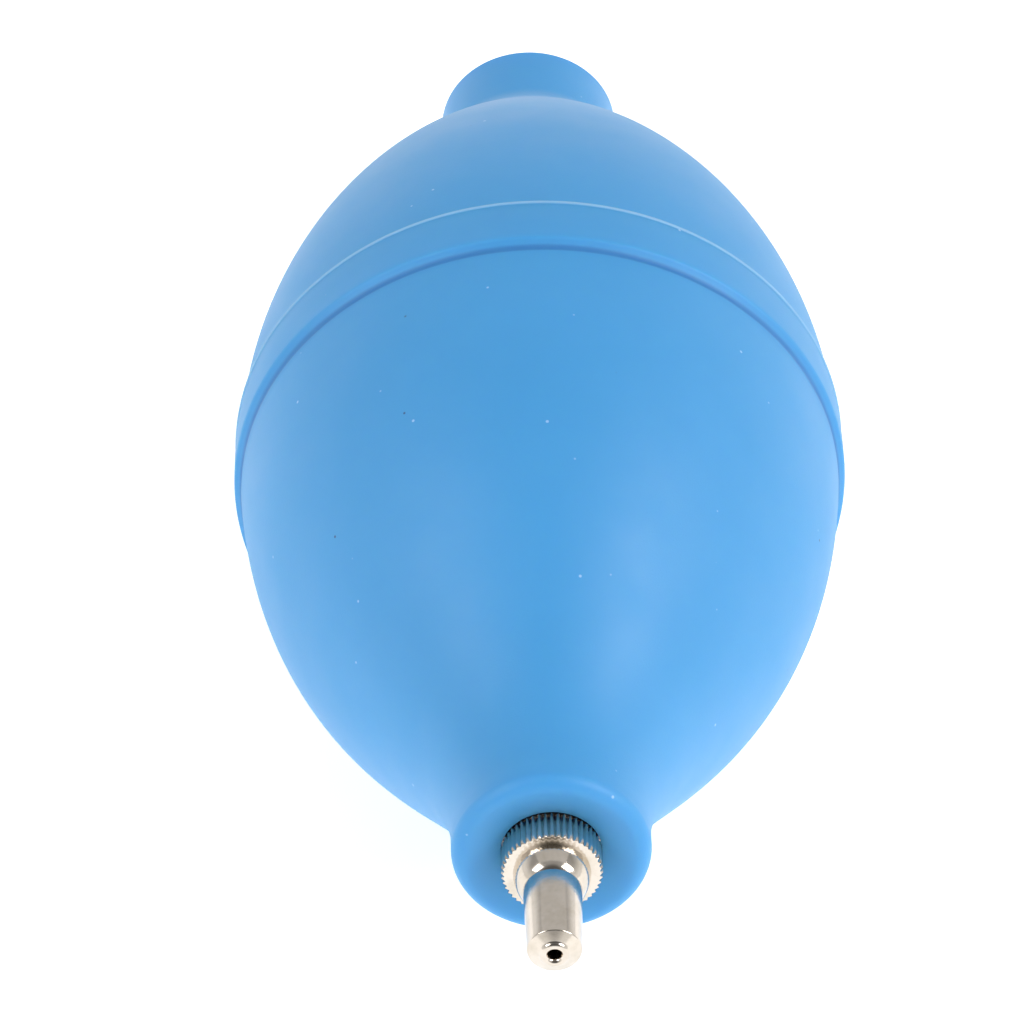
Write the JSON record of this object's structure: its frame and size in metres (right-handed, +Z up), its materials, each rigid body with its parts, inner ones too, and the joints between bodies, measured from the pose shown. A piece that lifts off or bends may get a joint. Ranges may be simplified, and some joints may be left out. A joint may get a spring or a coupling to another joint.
{
  "type": "pipette filler bulb",
  "caption": "Egg-shaped silicone squeeze bulb with a raised band, a neck at each end, ball check valves and a knurled screw-in metal nozzle.",
  "frame": {"origin": "centre of the bounding box's base: the table point under the middle of the whole length", "axes": "+Z up from the table the bulb lies on; the bulb's own axis is level and runs along Y, with the nozzle at -Y and the rear neck at +Y; +X is to the right seen from the nozzle"},
  "size_m": [0.055, 0.1216, 0.0547],
  "materials": {
    "blue_silicone": "matte, slightly translucent",
    "nickel_plate": "polished nickel plate on brass",
    "stainless_steel": "plain",
    "nitrile_rubber": "satin"
  },
  "bodies": {
    "bulb": {"front_half_shell": "blue_silicone", "rear_half_shell": "blue_silicone", "outlet_socket": "nickel_plate", "outlet_spring": "stainless_steel", "spring_stop": "stainless_steel"},
    "rear_fitting": {"inlet_valve_body": "nickel_plate", "inlet_ball_cage": "stainless_steel", "inlet_gauze": "stainless_steel", "gauze_ring": "nickel_plate"},
    "inlet_ball": {"inlet_ball": "nitrile_rubber"},
    "outlet_ball": {"outlet_ball": "nitrile_rubber"},
    "washer": {"nozzle_washer": "nitrile_rubber"},
    "nozzle": {"nozzle": "nickel_plate"}
  },
  "joints": [
    {"name": "bulb_squeeze", "type": "slide", "parent": "bulb", "child": "rear_fitting", "axis": [0, -1, 0], "range_m": [0, 0.012], "stiffness_N_per_m": 1500, "deforming": ["rear_half_shell"]},
    {"name": "inlet_ball_lift", "type": "slide", "parent": "rear_fitting", "child": "inlet_ball", "axis": [0, -1, 0], "range_m": [0, 0.0007]},
    {"name": "outlet_ball_lift", "type": "slide", "parent": "bulb", "child": "outlet_ball", "axis": [0, -1, 0], "range_m": [0, 0.001], "stiffness_N_per_m": 20, "springref_m": -0.0005, "deforming": ["outlet_spring"]},
    {"name": "nozzle_travel", "type": "slide", "parent": "bulb", "child": "washer", "axis": [0, -1, 0], "range_m": [0, 0.004]},
    {"name": "nozzle_unscrew", "type": "hinge", "parent": "washer", "child": "nozzle", "pos_m": [0, -0.0506, 0.02716], "axis": [0, -1, 0], "range_deg": [0, 1440]}
  ],
  "couplings": [
    {"joint": "nozzle_unscrew", "follows": "nozzle_travel", "rad_per_m": 6283.2}
  ]
}
